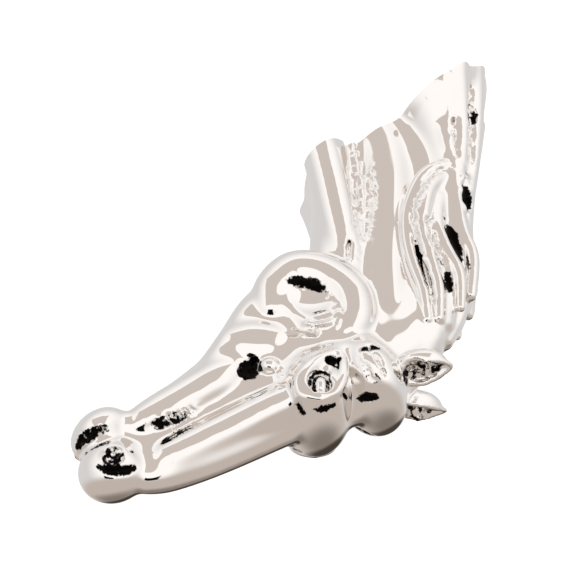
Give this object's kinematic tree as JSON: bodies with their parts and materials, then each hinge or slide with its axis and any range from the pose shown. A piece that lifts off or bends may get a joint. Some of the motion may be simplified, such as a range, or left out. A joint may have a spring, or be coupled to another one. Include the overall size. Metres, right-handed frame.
{
  "type": "cabinet knob",
  "caption": "Cabinet knob cast as a horse's head and neck, with a flat base, a threaded insert for a machine screw and a locating dowel.",
  "frame": {"origin": "the mounting screw's axis, where it meets the flat base of the neck", "axes": "+X towards the muzzle, +Z away from the door that the base lies on, +Y to the horse's left"},
  "size_m": [0.093, 0.0208, 0.0445],
  "materials": {
    "polished_nickel": "bright polished nickel plate over a zinc casting, left matt in the deepest recesses",
    "brass": "machined, knurled outside and threaded inside",
    "steel": "ground and zinc plated"
  },
  "bodies": {
    "root": {"horse_head": "polished_nickel", "threaded_insert": "brass", "locating_dowel": "steel"}
  },
  "joints": []
}
